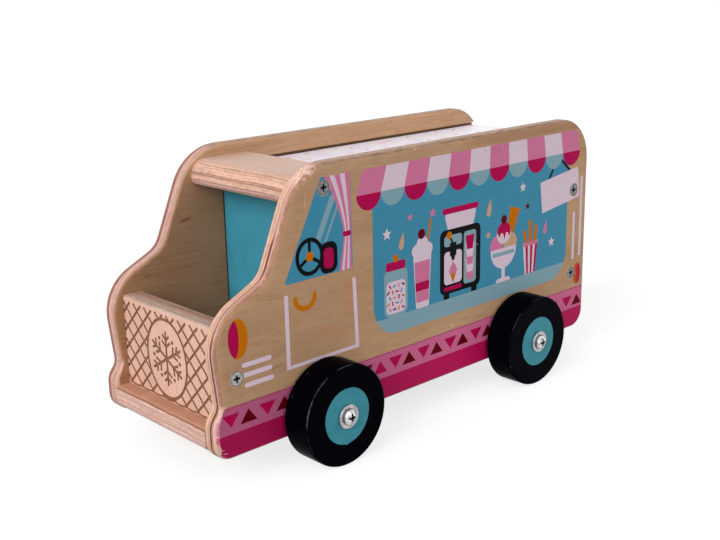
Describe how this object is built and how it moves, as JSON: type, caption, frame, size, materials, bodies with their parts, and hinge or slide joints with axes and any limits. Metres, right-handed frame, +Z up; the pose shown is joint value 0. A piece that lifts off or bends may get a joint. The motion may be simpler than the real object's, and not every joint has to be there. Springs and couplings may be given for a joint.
{
  "type": "toy ice cream van",
  "caption": "Wooden push-along toy ice cream van with plywood sides, an open cab, a lattice grille board, a white roof panel and free-rolling wheels on screws.",
  "frame": {"origin": "on the ground, under the middle of the van's length and width", "axes": "+X towards the bumper, +Y towards the van's left side, +Z up"},
  "size_m": [0.3006, 0.147, 0.1558],
  "materials": {
    "plywood_side": "sanded birch plywood, printed with flat colours on the outer face",
    "plywood_panel": "sanded birch plywood, clear",
    "teal_paint": "satin paint on plywood",
    "white_paint": "satin paint on plywood with small sprinkles",
    "black_lacquer": "gloss lacquer on turned wood, with a flat teal hub",
    "zinc_steel": "bright zinc"
  },
  "bodies": {
    "root": {"side_board_left": "plywood_side", "side_board_right": "plywood_side", "floor_board": "plywood_panel", "grille_board": "plywood_panel", "roof_header": "plywood_panel", "rear_panel": "plywood_panel", "cab_bulkhead": "teal_paint", "roof_panel": "white_paint", "header_screw_left": "zinc_steel", "header_screw_right": "zinc_steel", "grille_screw_left": "zinc_steel", "grille_screw_right": "zinc_steel", "rear_upper_screw_left": "zinc_steel", "rear_upper_screw_right": "zinc_steel", "rear_lower_screw_left": "zinc_steel", "rear_lower_screw_right": "zinc_steel", "front_washer_left": "zinc_steel", "front_axle_screw_left": "zinc_steel", "front_washer_right": "zinc_steel", "front_axle_screw_right": "zinc_steel", "rear_washer_left": "zinc_steel", "rear_axle_screw_left": "zinc_steel", "rear_washer_right": "zinc_steel", "rear_axle_screw_right": "zinc_steel"},
    "front_wheel_left": {"front_wheel_left": "black_lacquer"},
    "front_wheel_right": {"front_wheel_right": "black_lacquer"},
    "rear_wheel_left": {"rear_wheel_left": "black_lacquer"},
    "rear_wheel_right": {"rear_wheel_right": "black_lacquer"}
  },
  "joints": [
    {"name": "front_left_wheel_roll", "type": "hinge", "parent": "root", "child": "front_wheel_left", "pos_m": [0.08135, 0.0605, 0.0275], "axis": [0, 1, 0], "continuous": true},
    {"name": "front_right_wheel_roll", "type": "hinge", "parent": "root", "child": "front_wheel_right", "pos_m": [0.08135, -0.0605, 0.0275], "axis": [0, 1, 0], "continuous": true},
    {"name": "rear_left_wheel_roll", "type": "hinge", "parent": "root", "child": "rear_wheel_left", "pos_m": [-0.07695, 0.0605, 0.0275], "axis": [0, 1, 0], "continuous": true},
    {"name": "rear_right_wheel_roll", "type": "hinge", "parent": "root", "child": "rear_wheel_right", "pos_m": [-0.07695, -0.0605, 0.0275], "axis": [0, 1, 0], "continuous": true}
  ]
}
